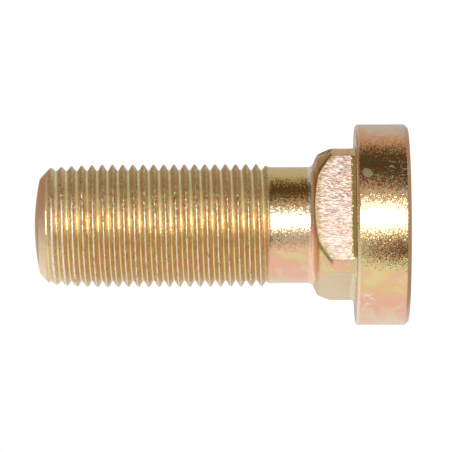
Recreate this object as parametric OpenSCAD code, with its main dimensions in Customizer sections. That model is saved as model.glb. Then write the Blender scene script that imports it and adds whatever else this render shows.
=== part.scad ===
// Round-headed wheel bolt with a square neck and a fine rolled thread, M18 x 1.5.
// It stands on its head: Z runs along the bolt, from the head's outer face to the thread's tip.

/* [Head] */
// Diameter of the round head
head_d = 29.4; // [26:0.2:40]
// Thickness of the head
head_h = 7.7; // [4:0.1:14]
// Chamfer round the outer face
head_chamfer = 0.55; // [0.2:0.05:1.2]
// Radius of the rim on the clamping side
rim_r = 0.45; // [0.2:0.05:1]

/* [Square neck] */
// Width of the square across its flats
neck_w = 18.7; // [18:0.1:19.8]
// Diameter across the turned corners of the square
neck_corner_d = 24.3; // [23:0.1:24.6]
// Height of the neck at its full section
neck_h = 3.6; // [1:0.05:7]
// Height of the tapered end of the neck
neck_taper_h = 1.9; // [1:0.05:2.2]
// Angle of the taper, measured from the axis
neck_taper_angle = 41; // [30:1:44]
// Angle of the shoulder that closes the taper, measured from the axis
shoulder_angle = 68; // [60:1:75]
// Rounding where the taper starts
taper_round_r = 1.2; // [0.5:0.1:2]
// Rounding between the taper and the shoulder
shoulder_round_r = 0.8; // [0.4:0.1:1.2]
// Fillet between the shoulder and the shank
shank_fillet_r = 0.9; // [0.4:0.1:1]
// Fillet at the foot of the flats
flat_fillet_r = 0.8; // [0.2:0.1:1]
// Fillet at the foot of the turned corners
corner_fillet_r = 0.3; // [0.2:0.1:0.6]

/* [Shank] */
// Diameter of the plain shank, the blank that the thread is rolled on
shank_d = 17; // [16.8:0.1:17.3]
// Distance from the head's clamping side to the thread
plain_len = 12.2; // [9:0.1:30]

/* [Thread] */
// Outer diameter of the thread
thread_d = 18; // [17.8:0.1:18.4]
// Pitch of the thread
pitch = 1.5; // [1.25:0.25:2]
// Distance from the head's clamping side to the tip
reach = 46.8; // [30:0.1:90]
// Length over which the thread runs out into the shank
runout_len = 1.4; // [0.8:0.1:4]
// Diameter at the small end of the lead chamfer
tip_d = 13.8; // [11:0.1:15]
// Angle of the lead chamfer, measured from the axis
lead_angle = 48; // [30:1:60]
// Height of the domed tip
tip_dome_h = 0.75; // [0.3:0.05:1.5]

/* [Hidden] */

// Facets round one turn of the thread
thread_facets = 40;
// Angle round the axis at which the thread starts
thread_start = 191;
// Steps round a fillet or a rounded edge, and across the domed tip
edge_steps = 6;
dome_steps = 8;
// Depth to which one feature is sunk into the next, so that they are one solid
sink = 1;
// How far the hidden start of the thread lies below the shank's surface
skin = 0.02;

head_r = head_d / 2;
corner_r = neck_corner_d / 2;
shank_r = shank_d / 2;
thread_r = thread_d / 2;
tip_r = tip_d / 2;

// Heights above the head's outer face
taper_z = head_h + neck_h;
shoulder_z = taper_z + neck_taper_h;
thread_z = head_h + plain_len;
tip_z = head_h + reach;
dome_z = tip_z - tip_dome_h;

// Rolled metric thread: a sharp triangle, cut by an eighth at the crest and a sixth at the root
triangle_h = pitch * sqrt(3) / 2;
crest_w = pitch / 8;
root_w = pitch / 6;
root_r = thread_r - triangle_h * (1 - 1 / 8 - 1 / 6);

// Points of an arc, from angle a to angle b
function arc(centre, r, a, b, steps = edge_steps) =
    [for (i = [0:steps]) let (t = a + (b - a) * i / steps) centre + r * [cos(t), sin(t)]];

// Hollow fillet of radius r at the foot of a wall that rises from the head at x
function foot_fillet(x, r) = arc([x + r, head_h + r], r, 270, 180);

// Turned disc with a chamfer round its face and a rounded rim
module head() {
    rotate_extrude($fn = 180)
        polygon(concat(
            [[0, 0], [head_r - head_chamfer, 0], [head_r, head_chamfer]],
            arc([head_r - rim_r, head_h - rim_r], rim_r, 0, 90),
            [[0, head_h]]));
}

// Neck and shank as they are turned, before the neck is squared
module turned_neck() {
    taper_r = corner_r - neck_taper_h * tan(neck_taper_angle);
    // Each rounding touches the taper this far from the corner that it rounds
    taper_touch = taper_round_r * tan(neck_taper_angle / 2);
    shoulder_touch = shoulder_round_r * tan((shoulder_angle - neck_taper_angle) / 2);
    shoulder_touch_x = taper_r + shoulder_touch * sin(neck_taper_angle);
    shoulder_touch_z = shoulder_z - shoulder_touch * cos(neck_taper_angle);
    // The fillet touches the sloping shoulder first, and then the shank
    fillet_x = shank_r + shank_fillet_r;
    start_x = fillet_x - shank_fillet_r * cos(shoulder_angle);
    start_z = shoulder_z + (taper_r - start_x) / tan(shoulder_angle);
    fillet_z = start_z + shank_fillet_r * sin(shoulder_angle);
    rotate_extrude($fn = 180)
        polygon(concat(
            [[0, head_h - sink], [corner_r + corner_fillet_r, head_h - sink]],
            foot_fillet(corner_r, corner_fillet_r),
            arc([corner_r - taper_round_r, taper_z - taper_touch],
                taper_round_r, 0, neck_taper_angle),
            arc([shoulder_touch_x - shoulder_round_r * cos(neck_taper_angle),
                 shoulder_touch_z - shoulder_round_r * sin(neck_taper_angle)],
                shoulder_round_r, neck_taper_angle, shoulder_angle),
            arc([fillet_x, fillet_z], shank_fillet_r, 180 + shoulder_angle, 180),
            [[shank_r, thread_z], [0, thread_z]]));
}

// Long bar with two opposite flats of the square, and the hollow fillets at their feet
module flats() {
    right = concat(
        [[neck_w / 2 + flat_fillet_r, head_h - 2 * sink]],
        foot_fillet(neck_w / 2, flat_fillet_r),
        [[neck_w / 2, thread_z + sink]]);
    left = [for (i = [len(right) - 1:-1:0]) [-right[i][0], right[i][1]]];
    rotate([90, 0, 0])
        linear_extrude(height = 2 * head_d, center = true)
            polygon(concat(right, left));
}

module square_neck() {
    intersection() {
        turned_neck();
        flats();
        rotate([0, 0, 90]) flats();
    }
}

// Right-hand thread as one helical surface that grows out of the shank, with a fan at each end.
// Each row of points follows one edge of the thread form through one turn.
module helical_thread() {
    // Height within the pitch and radius of the four edges: two at the crest, two at the root
    root_start = (pitch + crest_w - root_w) / 2;
    form = [[0, thread_r], [crest_w, thread_r], [root_start, root_r], [root_start + root_w, root_r]];
    edges = len(form);
    n = thread_facets;
    low_z = thread_z - 2 * pitch;
    rows = edges * ceil((tip_z + pitch - low_z) / pitch);
    buried_r = shank_r - skin;
    function row_z(k) = low_z + pitch * floor(k / edges) + form[k % edges][0];
    function grown(z) = min(1, max(0, (z - thread_z) / runout_len));
    function place(k, j) =
        let (z = row_z(k) + pitch * j / n,
             r = buried_r + grown(z) * (form[k % edges][1] - buried_r),
             a = 360 * j / n)
        [r * cos(a), r * sin(a), z];
    // After a full turn, a row runs on in the row that starts one pitch higher
    function id(k, j) = j == n ? id(k + edges, 0) : k < rows ? k * n + j : rows * n + k - rows;
    low = rows * n + edges;
    high = low + 1;
    last = rows - 1;
    points = concat(
        [for (k = [0:last], j = [0:n - 1]) place(k, j)],
        [for (k = [rows:last + edges]) place(k, 0)],
        [[0, 0, low_z - sink], [0, 0, row_z(last + edges) + sink]]);
    faces = concat(
        [for (k = [0:last - 1], j = [0:n - 1]) [id(k, j), id(k + 1, j), id(k + 1, j + 1)]],
        [for (k = [0:last - 1], j = [0:n - 1]) [id(k, j), id(k + 1, j + 1), id(k, j + 1)]],
        [for (j = [0:n - 1]) [low, id(0, j), id(0, j + 1)]],
        [for (k = [0:edges - 1]) [low, id(k + 1, 0), id(k, 0)]],
        [for (j = [0:n - 1]) [high, id(last, j + 1), id(last, j)]],
        [for (k = [last:last + edges - 1]) [high, id(k, 0), id(k + 1, 0)]]);
    rotate([0, 0, thread_start])
        polyhedron(points, faces);
}

// Envelope of the threaded end, with its lead chamfer and domed tip
module tip_envelope() {
    outer_r = thread_r + sink;
    lead_z = dome_z - (outer_r - tip_r) / tan(lead_angle);
    dome_r = (tip_r * tip_r + tip_dome_h * tip_dome_h) / (2 * tip_dome_h);
    dome_angle = asin(tip_r / dome_r);
    rotate_extrude($fn = 180)
        polygon(concat(
            [[0, head_h], [outer_r, head_h], [outer_r, lead_z]],
            arc([0, tip_z - dome_r], dome_r, 90 - dome_angle, 90, dome_steps)));
}

module wheel_bolt() {
    color("goldenrod") {
        head();
        square_neck();
        intersection() {
            helical_thread();
            tip_envelope();
        }
    }
}

wheel_bolt();
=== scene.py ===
import math

import bmesh
import bpy
from mathutils import Matrix, Vector, noise


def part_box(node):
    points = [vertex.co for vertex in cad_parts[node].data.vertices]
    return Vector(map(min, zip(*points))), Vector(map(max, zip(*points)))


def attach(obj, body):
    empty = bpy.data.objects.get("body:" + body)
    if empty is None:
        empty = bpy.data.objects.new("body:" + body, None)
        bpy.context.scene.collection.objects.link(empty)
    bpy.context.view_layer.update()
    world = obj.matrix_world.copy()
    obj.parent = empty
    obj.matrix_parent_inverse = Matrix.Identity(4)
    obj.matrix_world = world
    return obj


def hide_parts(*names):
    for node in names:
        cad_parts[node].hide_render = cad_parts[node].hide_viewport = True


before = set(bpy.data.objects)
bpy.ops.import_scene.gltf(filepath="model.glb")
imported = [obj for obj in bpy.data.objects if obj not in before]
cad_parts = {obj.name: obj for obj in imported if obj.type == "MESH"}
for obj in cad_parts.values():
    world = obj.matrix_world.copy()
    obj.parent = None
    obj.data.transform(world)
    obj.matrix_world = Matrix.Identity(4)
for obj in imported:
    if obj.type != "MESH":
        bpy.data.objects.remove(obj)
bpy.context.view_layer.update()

# The turned blank: head, square neck and plain shank.
# The real one is upset from steel bar and turned in one piece, so it is one shell of revolution here.
# Sizes are in millimetres, and heights are measured from the head's outer face.

MM = 0.001
WELD = 0.5e-6
SEGMENTS = 192
EDGE_STEPS = 2
FILLET_STEPS = 5
SMALLEST_FILLET = 0.15

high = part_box("wheel_bolt")[1]
head_r = round(high.x / MM, 1)
tip_z = round(high.z / MM, 1)
head_h = 7.7
head_chamfer = 0.55
rim_round = 0.45
corner_r = 12.15
corner_fillet = 0.3
taper_z = 11.3
taper_round = 1.2
shoulder_z = 13.2
shoulder_r = 10.5
shoulder_round = 0.8
shank_r = 8.5
shoulder_slope = math.tan(math.radians(68))
shank_corner_z = shoulder_z + (shoulder_r - shank_r) / shoulder_slope
shank_fillet = 0.9
shank_end_z = 19.2
worn_edge = 0.08


def rounded(corners):
    """Points of an outline whose corners are given as (radius, height, rounding)."""
    points = []
    for i, (r, z, rounding) in enumerate(corners):
        here = Vector((r, z))
        if not rounding:
            points.append(here)
            continue
        back = (Vector(corners[i - 1][:2]) - here).normalized()
        onward = (Vector(corners[i + 1][:2]) - here).normalized()
        half = back.angle(onward) / 2
        centre = here + (back + onward).normalized() * rounding / math.sin(half)
        first = here + back * rounding / math.tan(half) - centre
        last = here + onward * rounding / math.tan(half) - centre
        start = math.atan2(first.y, first.x)
        sweep = math.remainder(math.atan2(last.y, last.x) - start, math.tau)
        steps = FILLET_STEPS if rounding > SMALLEST_FILLET else EDGE_STEPS
        for k in range(steps + 1):
            angle = start + sweep * k / steps
            points.append(centre + rounding * Vector((math.cos(angle), math.sin(angle))))
    return points


def revolve(mesh, outline, rise=0.0):
    """Spins an outline once round the bolt's axis, and lifts it by rise on the way."""
    points = [mesh.verts.new((r * MM, 0, z * MM)) for r, z in outline]
    edges = [mesh.edges.new(pair) for pair in zip(points, points[1:])]
    bmesh.ops.spin(
        mesh, geom=points + edges, cent=(0, 0, 0), axis=(0, 0, 1), angle=math.tau,
        dvec=(0, 0, rise * MM / SEGMENTS), steps=SEGMENTS, use_merge=rise == 0)
    bmesh.ops.remove_doubles(mesh, verts=mesh.verts, dist=WELD)


bolt = bmesh.new()
revolve(bolt, rounded([
    (0, 0, 0),
    (head_r - head_chamfer, 0, worn_edge),
    (head_r, head_chamfer, worn_edge),
    (head_r, head_h, rim_round),
    (corner_r, head_h, corner_fillet),
    (corner_r, taper_z, taper_round),
    (shoulder_r, shoulder_z, shoulder_round),
    (shank_r, shank_corner_z, shank_fillet),
    (shank_r, shank_end_z, 0)]))

# The four flats of the square neck.
# They are sheared along the bolt after turning, which leaves them rough, with torn streaks.
# Each flat is cut into the turned neck, and the metal beyond it is pressed down to it.

flat_r = 9.35
flat_fillet = 0.8
fillet_rows = 6
flat_rows = 15
tear_depth = 0.035
tear_width = 0.9
tear_length = 2.4
tear_shift = 10
touch = 0.001


def on_neck(vert):
    """True for a point of the neck, from the foot of its fillet up to the shank."""
    r = vert.co.to_2d().length / MM
    z = vert.co.z / MM
    return z > head_h - touch and r < corner_r + corner_fillet + touch


def foot_flare(z):
    """How far the hollow fillet at a flat's foot stands out at height z."""
    rise = min(max(head_h + flat_fillet - z, 0), flat_fillet)
    return flat_fillet - math.sqrt(flat_fillet ** 2 - rise ** 2)


def cut_neck(place, normal):
    """Cuts the neck's wall along a plane, and leaves the head's clamping face alone."""
    faces = [f for f in bolt.faces
             if all(map(on_neck, f.verts)) and max(v.co.z for v in f.verts) > (head_h + touch) * MM]
    edges = {e for f in faces for e in f.edges}
    verts = {v for f in faces for v in f.verts}
    bmesh.ops.bisect_plane(bolt, geom=[*faces, *edges, *verts], dist=WELD, plane_co=place, plane_no=normal)


fillet_top = head_h + flat_fillet
rows = [fillet_top - flat_fillet * math.cos(math.pi / 2 * i / fillet_rows) for i in range(1, fillet_rows)]
rows += [fillet_top + (shank_corner_z - fillet_top) * i / flat_rows for i in range(flat_rows)]
for row_z in rows:
    cut_neck((0, 0, row_z * MM), (0, 0, 1))
for side in range(4):
    outward = Matrix.Rotation(side * math.pi / 2, 3, "Z") @ Vector((1, 0, 0))
    cut_neck(outward * flat_r * MM, outward)
    for vert in filter(on_neck, bolt.verts):
        excess = vert.co.dot(outward) - (flat_r + foot_flare(vert.co.z / MM)) * MM
        if excess > -WELD:
            across = vert.co.cross(outward).z / MM
            tear = noise.noise((across / tear_width, vert.co.z / MM / tear_length, side * tear_shift))
            vert.co -= outward * (excess + tear_depth * MM * abs(tear))

# The thread, M18 x 1.5, right hand.
# It is rolled into the shank: sharp flanks, a rounded root and narrow crests that fall away at the tip.
# One profile of the whole thread is spun once round while it climbs by one pitch.

pitch = 1.5
thread_r = 9.0
thread_z = 19.9
sheet_z = 19.5
runout = 1.5
triangle_h = pitch * math.cos(math.radians(30))
peak_r = thread_r + triangle_h / 8
valley_r = peak_r - triangle_h
crest_round = 0.21
root_round = 0.144 * pitch
crest_r = peak_r - crest_round
root_r = valley_r + root_round
crest_phase = 22.195
turns_below = 4
crest_drop = 0.6
crest_drop_length = 9
crest_drop_power = 1.5
nick_size = 0.9
nick_level = 0.42
nick_depth = 0.48
tip_r = 6.9
dome_h = 0.75
dome_z = tip_z - dome_h
lead_slope = math.tan(math.radians(48))
lead_length = 2.5
lead_cuts = 3
flank_rise = 0.2
join = 0.03


def shape_thread(vert):
    """Fits one point of the helical sheet to the run-out, the low crests and the lead chamfer."""
    r = vert.co.to_2d().length / MM
    z = vert.co.z / MM
    near_tip = min(max(1 - (dome_z - z) / crest_drop_length, 0), 1)
    nick = max(noise.noise(vert.co / MM * nick_size) - nick_level, 0)
    loss = crest_drop * near_tip ** crest_drop_power + nick_depth * nick
    r -= loss * (r - root_r) / (crest_r - root_r)
    grown = min(max((z - thread_z) / runout, 0), 1)
    grown *= grown * (3 - 2 * grown)
    r = shank_r + (r - shank_r) * grown
    r = min(r, tip_r + max(dome_z - z, 0) * lead_slope)
    vert.co = (*(vert.co.to_2d().normalized() * r * MM), z * MM)


first_crest = crest_phase - pitch * turns_below
crests = [first_crest + pitch * i for i in range(math.ceil((tip_z - first_crest) / pitch) + 1)]
thread_outline = [(crest_r, crests[0], 0)]
for crest_z in crests:
    thread_outline += [(valley_r, crest_z + pitch / 2, root_round), (peak_r, crest_z + pitch, crest_round)]
thread_outline[-1] = (crest_r, crests[-1] + pitch, 0)

thread = bmesh.new()
revolve(thread, rounded(thread_outline), rise=pitch)
lead_flanks = [e for e in thread.edges
               if min(v.co.z for v in e.verts) > (dome_z - lead_length) * MM
               and abs(e.verts[0].co.to_2d().length - e.verts[1].co.to_2d().length) > flank_rise * MM]
bmesh.ops.subdivide_edges(thread, edges=lead_flanks, cuts=lead_cuts)
for vert in thread.verts:
    shape_thread(vert)
for height, cleared in ((sheet_z, {"clear_inner": True}), (dome_z - join, {"clear_outer": True})):
    bmesh.ops.bisect_plane(
        thread, geom=[*thread.verts, *thread.edges, *thread.faces], dist=WELD,
        plane_co=(0, 0, height * MM), plane_no=(0, 0, 1), **cleared)
sheet = bpy.data.meshes.new("thread_sheet")
thread.to_mesh(sheet)
bolt.from_mesh(sheet)
bpy.data.meshes.remove(sheet)

# The domed tip, and the joints that make the bolt one closed skin.
# The tip is the cropped end of the bar, pressed slightly round.

dome_steps = 8
dome_r = (tip_r ** 2 + dome_h ** 2) / (2 * dome_h)
dome_angle = math.asin(tip_r / dome_r)
rim_reach = 0.1
sharp_angle = math.radians(28)


def open_rims(lowest, highest):
    """Open edges of the skin between two heights."""
    return [e for e in bolt.edges
            if e.is_boundary and all(lowest < v.co.z / MM < highest for v in e.verts)]


revolve(bolt, [
    (dome_r * math.sin(dome_angle * i / dome_steps),
     tip_z - dome_r * (1 - math.cos(dome_angle * i / dome_steps)))
    for i in range(dome_steps + 1)])
bmesh.ops.bridge_loops(bolt, edges=open_rims(shank_end_z - rim_reach, thread_z))
bmesh.ops.bridge_loops(bolt, edges=open_rims(dome_z - rim_reach, dome_z + rim_reach))
bmesh.ops.recalc_face_normals(bolt, faces=bolt.faces)
for face in bolt.faces:
    face.smooth = True
for edge in bolt.edges:
    edge.smooth = len(edge.link_faces) == 2 and edge.calc_face_angle() < sharp_angle

skin = bpy.data.meshes.new("bolt")
bolt.to_mesh(skin)
piece = bpy.data.objects.new("bolt", skin)
bpy.context.scene.collection.objects.link(piece)

# The finish: electroplated zinc with a yellow passivation.
# The passivation is a film thin enough to show colours, which drift round the bolt from pink and
# green-gold to brown. The value of film runs from 0 on the side towards the bottom of the picture
# to 1 on the side towards its top, and the colours turn darker and browner high on that side, where
# the bolt reflects the dark cards. The wear and most of the painted light and shade follow it.


class Socket:
    """An output of a shader node, which can be part of a sum."""

    def __init__(self, graph, socket):
        self.graph = graph
        self.socket = socket

    def __add__(self, other):
        return self.graph.math("ADD", self, other)

    def __sub__(self, other):
        return self.graph.math("SUBTRACT", self, other)

    def __rsub__(self, other):
        return self.graph.math("SUBTRACT", other, self)

    def __mul__(self, other):
        return self.graph.math("MULTIPLY", self, other)

    __radd__ = __add__
    __rmul__ = __mul__


class Graph:
    """The nodes of one material, or of the world."""

    def __init__(self, owner):
        owner.use_nodes = True
        self.tree = owner.node_tree
        self.tree.nodes.clear()

    def add(self, kind, inputs=None, settings=None, output=0):
        """Adds one node: its settings first, then the value or the link of each input."""
        node = self.tree.nodes.new("ShaderNode" + kind)
        for name, value in (settings or {}).items():
            if name == "stops":
                ramp = node.color_ramp.elements
                while len(ramp) < len(value):
                    ramp.new(1)
                for stop, (position, colour) in zip(ramp, value):
                    stop.position = position
                    stop.color = (*colour, 1)
            else:
                setattr(node, name, value)
        for key, value in (inputs or {}).items():
            socket = node.inputs[key]
            if isinstance(value, Socket):
                self.tree.links.new(value.socket, socket)
            else:
                socket.default_value = (*value, 1) if socket.type == "RGBA" else value
        return Socket(self, node.outputs[output]) if node.outputs else None

    def math(self, operation, *terms):
        return self.add("Math", dict(enumerate(terms)), {"operation": operation})

    def vector(self, operation, a, b=(0, 0, 0), output=0):
        return self.add("VectorMath", {0: a, 1: b}, {"operation": operation}, output)

    def scaled(self, vector, factor):
        return self.add("VectorMath", {0: vector, "Scale": factor}, {"operation": "SCALE"})

    def part(self, vector, axis):
        return self.add("SeparateXYZ", {0: vector}, output=axis)

    def between(self, value, start, end):
        """0 up to start, 1 from end on, and smooth between them."""
        inputs = {"Value": value, "From Min": start, "From Max": end}
        return self.add("MapRange", inputs, {"interpolation_type": "SMOOTHSTEP"})

    def band(self, value, start, full, fading, end):
        """1 from full to fading, 0 outside start and end, and smooth between them."""
        return self.between(value, start, full) * (1 - self.between(value, fading, end))

    def blend(self, factor, a, b):
        """One colour over another."""
        return self.add("Mix", {0: factor, 6: a, 7: b}, {"data_type": "RGBA"}, output=2)

    def noise(self, place, scale, detail=2.0, roughness=0.5, distortion=0.0):
        inputs = {"Vector": place, "Scale": scale, "Detail": detail, "Roughness": roughness,
                  "Distortion": distortion}
        return self.add("TexNoise", inputs)

    def cells(self, place, scale):
        """Random colour of each of the small grains that the surface is divided into."""
        return self.add("TexVoronoi", {"Vector": place, "Scale": scale}, output=1)


film_side = (0.963, -0.271, 0)
film_around = (2.6, 2.6, 0)
film_along = (0, 0, 0.11)
head_stops = (
    (0.02, (0.82, 0.62, 0.46)),
    (0.10, (0.88, 0.46, 0.34)),
    (0.17, (0.84, 0.58, 0.28)),
    (0.32, (0.86, 0.65, 0.30)),
    (0.39, (0.80, 0.53, 0.22)),
    (0.46, (0.84, 0.65, 0.36)),
    (0.60, (0.87, 0.65, 0.37)),
    (0.72, (0.76, 0.46, 0.22)),
    (0.82, (0.82, 0.46, 0.19)),
    (0.91, (0.84, 0.38, 0.16)),
    (0.98, (0.80, 0.60, 0.40)))
shank_stops = (
    (0.02, (0.80, 0.58, 0.42)),
    (0.08, (0.86, 0.49, 0.33)),
    (0.20, (0.86, 0.49, 0.31)),
    (0.34, (0.84, 0.57, 0.29)),
    (0.43, (0.84, 0.63, 0.39)),
    (0.62, (0.86, 0.66, 0.44)),
    (0.72, (0.84, 0.55, 0.24)),
    (0.86, (0.84, 0.45, 0.16)),
    (0.95, (0.80, 0.58, 0.23)))
green_gold = (0.80, 0.74, 0.40)
rose = (0.92, 0.50, 0.38)
moss = (0.52, 0.60, 0.24)
rust = (0.86, 0.30, 0.20)

zinc = bpy.data.materials.new("yellow_zinc")
g = Graph(zinc)
place = g.vector("MULTIPLY", g.add("TexCoord", output=3), (1 / MM, 1 / MM, 1 / MM))
z = g.part(place, 2)
across = g.vector("MULTIPLY", place, (1, 1, 0))
radius = g.vector("LENGTH", across, output=1)
radial = g.vector("NORMALIZE", across)
past_head = g.between(z, 7.5, 8.2)
on_head = 1 - past_head
threaded = g.between(z, 20.0, 20.8)

drift = g.vector("ADD", g.vector("MULTIPLY", radial, film_around), g.vector("MULTIPLY", place, film_along))
film = 0.5 + 0.5 * g.vector("DOT_PRODUCT", radial, film_side, output=1)
film = film + (0.22 + 0.2 * past_head) * (g.noise(drift, 1.0, 3.0, 0.55) - 0.5)
film = film + 0.14 * (g.noise(place, 0.45, 2.0, 0.6, 0.8) - 0.5)
upper = g.between(film, 0.5, 0.68)
lower = (1 - g.between(film, 0.34, 0.44)) * (1 - threaded)
shadow = on_head * g.band(film, 0.68, 0.76, 0.86, 0.96)

head_film = g.add("ValToRGB", {0: film}, {"stops": head_stops})
shank_film = g.add("ValToRGB", {0: film}, {"stops": shank_stops})
film_colour = g.blend(on_head, shank_film, head_film)
clouds = g.noise(g.vector("ADD", place, (5.0, 5.0, 5.0)), 0.35, 1.0, 0.5, 0.6)
film_colour = g.blend(g.between(clouds, 0.48, 0.62) * lower * 0.4, film_colour, green_gold)
film_colour = g.blend((1 - g.between(clouds, 0.38, 0.50)) * lower * 0.4, film_colour, rose)
blotches = g.noise(place, 0.6, 2.0, 0.5, 0.6)
film_colour = g.blend(g.between(blotches, 0.54, 0.62) * shadow * 0.5, film_colour, moss)
film_colour = g.blend((1 - g.between(blotches, 0.38, 0.46)) * shadow * 0.4, film_colour, rust)

# The finish on the thread and the tip.
# Rolling leaves the flanks speckled and tarnished in patches, and the film stays yellow-green in the
# roots. Painted light lies over that: the flanks are painted paler through the highlight and on the
# upper side, the roots stronger and wider on the upper side, and the crests carry a pale line that
# is partly rubbed wear and partly a painted highlight. The cropped tip is redder, and painted
# lighter on its lower side and darker on its upper side.

flank_lower = (0.76, 0.53, 0.24)
flank_painted_pale = (0.94, 0.71, 0.45)
tarnish_green = (0.68, 0.70, 0.34)
tarnish_red = (0.88, 0.46, 0.30)
speck_brown = (0.44, 0.27, 0.10)
root_lower = (0.86, 0.82, 0.42)
root_upper = (0.84, 0.79, 0.47)
crest_wear_and_highlight = (0.98, 0.86, 0.74)
tip_painted_lit = (0.90, 0.66, 0.46)
tip_painted_shaded = (0.84, 0.54, 0.36)

near_tip = g.add("MapRange", {"Value": z, "From Min": dome_z - crest_drop_length, "From Max": dome_z})
crest_at = crest_r - crest_drop * g.math("POWER", near_tip, crest_drop_power)
crest_pale_depth = 0.026 + 0.05 * near_tip * near_tip
crest = g.between(radius - crest_at + crest_pale_depth, 0, 0.024) * threaded
# The pale crest line is left off on the upper side, where no highlight falls: it is partly a painted
# highlight.
crest = crest * (1 - g.between(film, 0.62, 0.78))
crest = crest * (0.55 + 0.45 * g.between(g.noise(place, 1.7, 1.0), 0.42, 0.52))
cropped = g.between(z, 52.2, 53.0)
# Painted light: on the upper side the roots are widened here, and painted stronger further on.
root = (1 - g.between(radius - 0.06 * upper, root_r + 0.01, root_r + 0.06)) * threaded * (1 - cropped)
valley = 1 - g.between(radius, root_r + 0.15, root_r + 0.6)
rolled = threaded * (1 - crest) * (1 - root) * (1 - 0.7 * cropped)

# Painted light: the flanks are painted paler through the highlight band and on the upper side.
flank = g.blend(g.between(film, 0.35, 0.75), flank_lower, flank_painted_pale)
tarnish = g.noise(place, 0.9, 3.0, 0.65, 0.4)
flank = g.blend(g.between(tarnish, 0.50, 0.60) * (0.4 + 0.3 * upper), flank, tarnish_green)
flank = g.blend((1 - g.between(tarnish, 0.40, 0.50)) * (0.35 + 0.3 * upper), flank, tarnish_red)
gold = g.blend(threaded * 0.8, film_colour, flank)
specks = g.between(g.part(g.cells(place, 7.0), 0), 0.5, 0.8) * rolled
gold = g.blend(specks * (0.70 + 0.15 * upper - 0.4 * valley), gold, speck_brown)
# The roots' yellow-green film, painted stronger on the upper side as painted light.
gold = g.blend(root * (0.6 + 0.3 * upper), gold, g.blend(upper, root_lower, root_upper))
# Pale crests: partly rubbed wear, partly a painted highlight.
wear_and_painted_light = g.blend(crest * 0.9, gold, crest_wear_and_highlight)
# The redder tip, painted lighter on its lower side and darker on its upper side.
wear_and_painted_light = g.blend(cropped * 0.8, wear_and_painted_light, g.blend(upper, tip_painted_lit, tip_painted_shaded))

# The finish on the neck and on the head's edges.
# The film drifts from green-gold to pink on the turned corners. The rest is painted light and shade:
# a pale painted reflection in the hollow under the shank and on the head's rim, painted shade on the
# shoulder's brow, in the fillet at the flats' foot and on the head's chamfer and outer face, and a
# tint over the neck that is painted darker on its upper side.

flat_zone = (8.4, 8.55, 13.5, 13.7)
neck_zone = (7.9, 8.3, 14.0, 15.0)
hollow_zone = (13.7, 14.0, 14.5, 14.8)
brow_zone = (12.95, 13.2, 13.5, 13.75)
foot_zone = (7.71, 7.76, 8.35, 8.5)
chamfer_painted_shade = (0.46, 0.22, 0.12)
neck_lower = (0.80, 0.54, 0.29)
neck_painted_shade = (0.74, 0.40, 0.25)
bloom_green = (0.82, 0.72, 0.32)
bloom_pink = (0.94, 0.50, 0.38)
hollow_painted_light_low = (1.0, 0.64, 0.50)
hollow_painted_light_high = (1.0, 0.90, 0.78)
brow_painted_shade = (0.62, 0.29, 0.16)
foot_painted_shade = (0.72, 0.64, 0.34)
rim_painted_light = (0.94, 0.82, 0.62)

reach = g.vector("ABSOLUTE", place)
wide = g.math("MAXIMUM", g.part(reach, 0), g.part(reach, 1))
flat = g.between(wide, flat_r - 0.2, flat_r - 0.08) * g.band(z, *flat_zone)
neck = g.band(z, *neck_zone)
turned_corner = neck * (1 - upper) * (1 - flat)
foot = g.band(z, *foot_zone) * (1 - g.between(radius, 12.2, 12.3))
rim = g.between(z, 7.27, 7.4) * g.between(radius, 14.1, 14.3)

# Painted shade on the head's outer face and chamfer.
wear_and_painted_light = g.blend((1 - g.between(z, 0.45, 0.7)) * 0.65, wear_and_painted_light, chamfer_painted_shade)
# A tint over the neck, painted darker on its upper side as painted shade.
wear_and_painted_light = g.blend(neck * 0.45, wear_and_painted_light, g.blend(g.between(film, 0.3, 0.55), neck_lower, neck_painted_shade))
wear_and_painted_light = g.blend(g.between(blotches, 0.48, 0.60) * turned_corner * 0.5, wear_and_painted_light, bloom_green)
wear_and_painted_light = g.blend((1 - g.between(blotches, 0.38, 0.50)) * turned_corner * 0.5, wear_and_painted_light, bloom_pink)
# A painted reflection: a pale band in the hollow under the shank, paler on the upper side.
wear_and_painted_light = g.blend(g.band(z, *hollow_zone) * 0.75, wear_and_painted_light, g.blend(upper, hollow_painted_light_low, hollow_painted_light_high))
# Painted shade: a dark line along the shoulder's brow.
wear_and_painted_light = g.blend(g.band(z, *brow_zone) * 0.6, wear_and_painted_light, brow_painted_shade)
# Painted shade in the fillet at the flats' foot.
wear_and_painted_light = g.blend(foot * 0.7, wear_and_painted_light, foot_painted_shade)
# A painted reflection: a pale band on the head's rim.
wear_and_painted_light = g.blend(rim * 0.6, wear_and_painted_light, rim_painted_light)

# The finish on the sheared flats.
# The shear tore them into fine streaks along the bolt, which show reddish on three of them. The
# fourth is olive. Painted shade darkens the flats' ends where they run into the taper and the
# shoulder, and a dark painted strip lies on the taper beside the lower edge of the flat that faces
# the camera.

tear_grain = (7.2, 7.2, 1.1)
lip_zone = (10.9, 11.5, 13.1, 13.4)
sheared_olive = (0.70, 0.66, 0.42)
sheared_pink = (0.92, 0.75, 0.65)
tear_red = (0.62, 0.31, 0.23)
brink_painted_shade = (0.54, 0.40, 0.20)
lip_painted_shade = (0.24, 0.18, 0.05)

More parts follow.
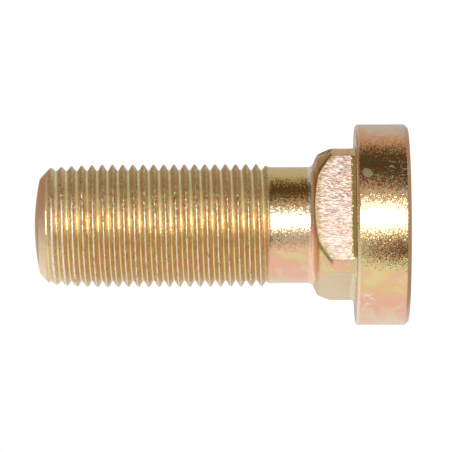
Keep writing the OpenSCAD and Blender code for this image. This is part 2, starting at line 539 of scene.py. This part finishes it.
front = g.between(film, 0.25, 0.40)
tears = g.noise(g.vector("MULTIPLY", place, tear_grain), 1.0, 1.0, 0.5, 0.3)
torn = g.between(tears, 0.54, 0.61) * flat * front
taper_line = taper_z + 1.15 * (corner_r - radius)
shoulder_line = shoulder_z + 0.4 * (shoulder_r - radius)
brink = g.between(z - g.math("MINIMUM", taper_line, shoulder_line), -1.2, -0.2) * flat * front
lip = g.between(wide, flat_r - 0.75, flat_r - 0.45) * g.band(z, *lip_zone)
lip = lip * (1 - flat) * g.between(film, 0.26, 0.31)
lip = lip * (0.7 + 0.3 * g.between(g.noise(place, 4.0, 2.0), 0.4, 0.6))

sheared_and_painted_light = g.blend(flat * (0.5 + 0.4 * front), wear_and_painted_light, g.blend(front, sheared_olive, sheared_pink))
sheared_and_painted_light = g.blend(torn * 0.75, sheared_and_painted_light, tear_red)
# Painted shade along the flats' ends at the taper and the shoulder.
sheared_and_painted_light = g.blend(brink * 0.8, sheared_and_painted_light, brink_painted_shade)
# Painted shade: a dark strip on the taper beside one flat's lower edge, on that side only.
sheared_and_painted_light = g.blend(lip * 0.95, sheared_and_painted_light, lip_painted_shade)

# Scratches, and a spot where the film is chipped off the head.
# They come from other bolts in the plating barrel, and gather in patches on the head's rim.

scratch_width = 0.02
scratch_pale = (0.90, 0.86, 0.70)
bare_zinc = (0.60, 0.66, 0.42)


def patch(bearing, height, size):
    """Soft round patch on the head's rim."""
    turn = math.radians(bearing)
    centre = (head_r * math.cos(turn), head_r * math.sin(turn), height)
    return 1 - g.between(g.vector("DISTANCE", place, centre, output=1), size * 0.5, size)


def thin_lines(scale, shift):
    """Wandering lines, longer along the bolt than round it."""
    stretched = g.vector("MULTIPLY", place, (1, 1, 0.5))
    field = g.noise(g.vector("ADD", stretched, (shift, shift, shift)), scale, 1.0, 0.5, 0.4) - 0.5
    return 1 - g.between(g.math("ABSOLUTE", field), scratch_width * 0.5, scratch_width)


scuffs = patch(-73, 2.3, 2.6) + patch(-46, 2.6, 2.4) + patch(-152, 6.6, 2.0) + patch(-137, 1.6, 1.5)
scratches = scuffs * thin_lines(0.7, 3.0) + scuffs * thin_lines(0.9, 9.0)
scratches = scratches * g.between(g.noise(place, 1.3, 1.0), 0.42, 0.5)
ragged = 1.8 * (g.noise(place, 1.3, 3.0) - 0.5)
bare = g.between(patch(-75, 6.2, 1.1) + ragged, 0.45, 0.95) * patch(-75, 6.2, 1.8)
marked_and_painted_light = g.blend(bare * 0.6, sheared_and_painted_light, bare_zinc)
marked_and_painted_light = g.blend(g.math("MINIMUM", scratches, 0.8), marked_and_painted_light, scratch_pale)
marks = g.math("MINIMUM", scratches + bare, 1.0)

# The grain of the plating, and the shader.
# The zinc grows as fine crystals, which tip the reflection a little at each grain, and more on the
# rolled flanks. A few deeper pits on the head and shank give the sparkle beside the highlight.

pit_depth = 0.62
tear_relief = 0.00001

fine = 9.0 - 2.0 * threaded
tooth = g.vector("MULTIPLY", place, g.add("CombineXYZ", {0: fine, 1: fine, 2: fine - flat * 6.5}))
grain = g.vector("SUBTRACT", g.cells(tooth, 1.0), (0.5, 0.5, 0.5))
pits = g.vector("MULTIPLY", grain, g.vector("MULTIPLY", grain, grain))
strength = 0.11 + rolled * (0.49 - valley * 0.35) + threaded * 0.09 - crest * 0.1 - flat * 0.01
strength = strength + upper * (0.10 - on_head * 0.06)
grain = g.vector("ADD", g.scaled(pits, pit_depth * (1 - threaded) * (1 - flat)), g.scaled(grain, strength))
bump = g.add("Bump", {"Height": tears * flat, "Strength": 1.0, "Distance": tear_relief})
rough = 0.20 + threaded * (0.14 - root * 0.05 - valley * 0.04 + valley * upper * 0.14)
rough = rough + flat * 0.20 + cropped * 0.05 + marks * 0.3
shader = g.add("BsdfPrincipled", {
    "Base Color": marked_and_painted_light,
    "Metallic": 1.0 - 0.08 * threaded - 0.3 * crest - 0.3 * root * upper,
    "Roughness": rough,
    "Normal": g.vector("NORMALIZE", g.vector("ADD", bump, grain))})
g.add("OutputMaterial", {"Surface": shader})

skin.materials.append(zinc)
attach(piece, "root")
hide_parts("wheel_bolt")

# The camera stands to one side of the bolt and is rolled by a quarter turn.
# The head is then at the right of the picture and the tip at its left.

camera_bearing = math.radians(-105.7)
camera_distance = 0.585
camera_height = 26.56 * MM
axis_offset = 0.06 * MM
camera_tilt = math.radians(0.25)
picture_width = 66.15 * MM
sensor = 36

back = Vector((math.cos(camera_bearing), math.sin(camera_bearing), 0))
up = Vector((math.cos(camera_bearing + math.pi / 2), math.sin(camera_bearing + math.pi / 2), 0))
right = Vector((0, 0, -1))
tilted_up = up * math.cos(camera_tilt) + right * math.sin(camera_tilt)
tilted_right = right * math.cos(camera_tilt) - up * math.sin(camera_tilt)
standpoint = back * camera_distance + Vector((0, 0, camera_height)) - up * axis_offset

camera = bpy.data.objects.new("camera", bpy.data.cameras.new("camera"))
bpy.context.scene.collection.objects.link(camera)
camera.data.sensor_width = sensor
camera.data.lens = sensor * camera_distance / picture_width
turned = Matrix((tilted_right, tilted_up, back)).transposed().to_4x4()
camera.matrix_world = Matrix.Translation(standpoint) @ turned
bpy.context.scene.camera = camera

# The studio's lights: a softbox beside the camera and three soft panels round the bolt, with dark and
# grey-gold cards between them, whose reflections draw the bands along the bolt.
# Bearings are in degrees round the bolt, from the camera towards the top of the picture.


def aim(obj, bearing, elevation, distance):
    """Holds a lamp or a card at a bearing and an elevation round the bolt, facing its middle."""
    turn = camera_bearing + math.radians(bearing)
    rise = math.radians(elevation)
    outward = Vector((math.cos(turn) * math.cos(rise), math.sin(turn) * math.cos(rise), math.sin(rise)))
    facing = outward.to_track_quat("Z", "Y").to_matrix().to_4x4()
    obj.matrix_world = Matrix.Translation(outward * distance + Vector((0, 0, camera_height))) @ facing
    bpy.context.scene.collection.objects.link(obj)
    obj.visible_camera = False


def panel(name, bearing, elevation, distance, width, height, brightness):
    """A flat soft lamp, as bright as a sheet of that brightness."""
    lamp = bpy.data.lights.new(name, "AREA")
    lamp.shape = "RECTANGLE"
    lamp.size = width
    lamp.size_y = height
    lamp.energy = brightness * math.pi * width * height
    aim(bpy.data.objects.new(name, lamp), bearing, elevation, distance)


def card(name, bearing, elevation, distance, width, height, colour):
    """A card that glows in its own colour and shows only in the bolt's reflections."""
    sheet = bmesh.new()
    bmesh.ops.create_grid(sheet, x_segments=1, y_segments=1, size=0.5)
    bmesh.ops.scale(sheet, verts=sheet.verts, vec=(width, height, 1))
    mesh = bpy.data.meshes.new(name)
    sheet.to_mesh(mesh)
    card_glow = bpy.data.materials.new(name)
    graph = Graph(card_glow)
    graph.add("OutputMaterial", {"Surface": graph.add("Emission", {"Color": colour})})
    mesh.materials.append(card_glow)
    flag = bpy.data.objects.new(name, mesh)
    aim(flag, bearing, elevation, distance)
    flag.visible_shadow = False
    flag.visible_diffuse = False


panel("softbox", 8, 0, 0.20, 0.07, 0.16, 5.0)
panel("side_panel", -80, 0, 0.40, 0.66, 0.60, 0.30)
panel("back_panel", -145, 0, 0.40, 0.38, 0.60, 0.30)
panel("end_panel", -120, 56, 0.40, 0.60, 0.34, 0.30)
card("upper_flag", 74, 0, 0.30, 0.27, 0.60, (0.09, 0.08, 0.06))
card("head_flag", 48.5, -35, 0.12, 0.032, 0.098, (0.07, 0.05, 0.035))
card("lower_flag", -28.5, -30, 0.115, 0.043, 0.090, (0.12, 0.05, 0.01))
card("front_flag", 45, 48, 0.34, 0.44, 0.44, (0.32, 0.28, 0.18))
card("rear_flag", 146, 50, 0.34, 0.46, 0.40, (0.36, 0.26, 0.18))

# The pale floor that the head stands on, and the world round it.
# Both are white where the camera looks at them, and the world lights the bolt at a plain grey.

floor_reach = 4
paper_grey = (0.82, 0.82, 0.82)
paper_glow = 1.71
glow_share = 0.5
white = (1, 1, 1)
plain_grey = (0.6, 0.6, 0.6)

floor_sheet = bmesh.new()
bmesh.ops.create_grid(floor_sheet, x_segments=1, y_segments=1, size=floor_reach)
floor_mesh = bpy.data.meshes.new("floor")
floor_sheet.to_mesh(floor_mesh)
floor = bpy.data.objects.new("floor", floor_mesh)
bpy.context.scene.collection.objects.link(floor)
paper = bpy.data.materials.new("white_paper")
g = Graph(paper)
lit = g.add("BsdfDiffuse", {"Color": paper_grey})
glow = g.add("Emission", {"Color": white, "Strength": paper_glow})
looked_at = g.add("LightPath")
g.add("OutputMaterial", {"Surface": g.add("MixShader", {0: looked_at * glow_share, 1: lit, 2: glow})})
floor_mesh.materials.append(paper)
floor.visible_glossy = False
floor.visible_shadow = False

world = bpy.data.worlds.new("studio")
bpy.context.scene.world = world
g = Graph(world)
surround = g.blend(g.add("LightPath"), plain_grey, white)
g.add("OutputWorld", {"Surface": g.add("Background", {"Color": surround, "Strength": 1.0})})

bpy.context.scene.view_settings.view_transform = "Standard"
